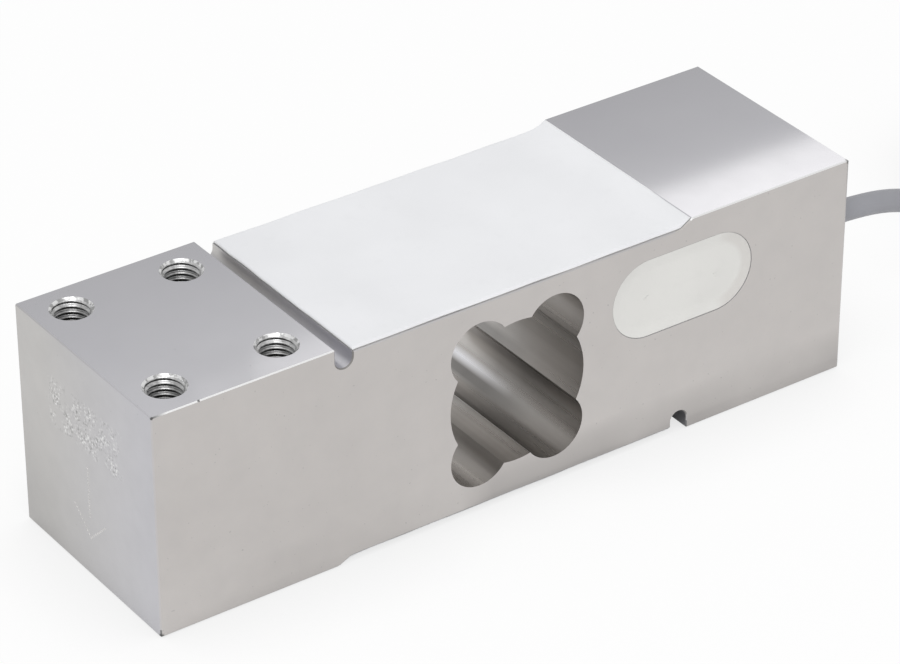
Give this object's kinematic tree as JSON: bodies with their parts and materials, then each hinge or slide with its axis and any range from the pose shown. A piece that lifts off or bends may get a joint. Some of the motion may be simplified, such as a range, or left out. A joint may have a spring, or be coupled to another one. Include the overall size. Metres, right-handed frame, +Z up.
{
  "type": "single point load cell",
  "caption": "Square aluminium bending beam with a clover opening, potted strain gauges and side pocket, tapped mounting holes at both ends and a coiled signal cable.",
  "frame": {"origin": "middle of the beam's underside, in the plane of the base end's mounting pad", "axes": "+X along the beam towards the base end and its cable, +Y to the side without the pocket, +Z up towards the load end's tapped pad"},
  "size_m": [0.2925, 0.065, 0.05],
  "materials": {
    "beam_aluminium": "clear anodised, fine matt",
    "silicone": "white silicone, satin",
    "carrier_film": "amber polyimide film",
    "gauge_foil": "constantan foil",
    "pad_copper": "copper pads",
    "lead_copper": "bare fine copper wire",
    "link_enamel": "enamelled copper wire",
    "board_laminate": "green solder mask on laminate",
    "resistor_body": "black chip with tinned ends",
    "ferrule_aluminium": "plain turned",
    "core_insulation": "thin insulation",
    "cable_jacket": "grey flexible jacket",
    "bush_rubber": "black rubber",
    "tie_nylon": "natural nylon",
    "sleeve_shrink": "black heat-shrink",
    "insulation_red": "thin insulation",
    "insulation_green": "thin insulation",
    "insulation_white": "thin insulation",
    "insulation_black": "thin insulation",
    "tinned_copper": "tinned strands, shown smooth"
  },
  "bodies": {
    "root": {"body_block": "beam_aluminium", "top_potting": "silicone", "bottom_potting": "silicone", "pocket_potting": "silicone", "bridge_board": "board_laminate", "span_resistor": "resistor_body", "zero_resistor": "resistor_body", "balance_resistor": "resistor_body", "cable_ferrule": "ferrule_aluminium", "inner_cores": "core_insulation", "cable_entry": "cable_jacket", "cable_bush": "bush_rubber", "cable_coil": "cable_jacket", "cable_lead": "cable_jacket", "coil_tie": "tie_nylon", "cable_sleeve": "sleeve_shrink", "conductor_red": "insulation_red", "conductor_green": "insulation_green", "conductor_white": "insulation_white", "conductor_black": "insulation_black", "tinned_tips": "tinned_copper", "shield_drain": "tinned_copper", "terminal_strip_top": "carrier_film", "terminal_pads_top": "pad_copper", "gauge_leads_top": "lead_copper", "link_wires_top": "link_enamel", "gauge_carrier_top_load_end": "carrier_film", "gauge_grid_top_load_end": "gauge_foil", "gauge_carrier_top_base_end": "carrier_film", "gauge_grid_top_base_end": "gauge_foil", "terminal_strip_bottom": "carrier_film", "terminal_pads_bottom": "pad_copper", "gauge_leads_bottom": "lead_copper", "link_wires_bottom": "link_enamel", "gauge_carrier_bottom_load_end": "carrier_film", "gauge_grid_bottom_load_end": "gauge_foil", "gauge_carrier_bottom_base_end": "carrier_film", "gauge_grid_bottom_base_end": "gauge_foil"}
  },
  "joints": []
}
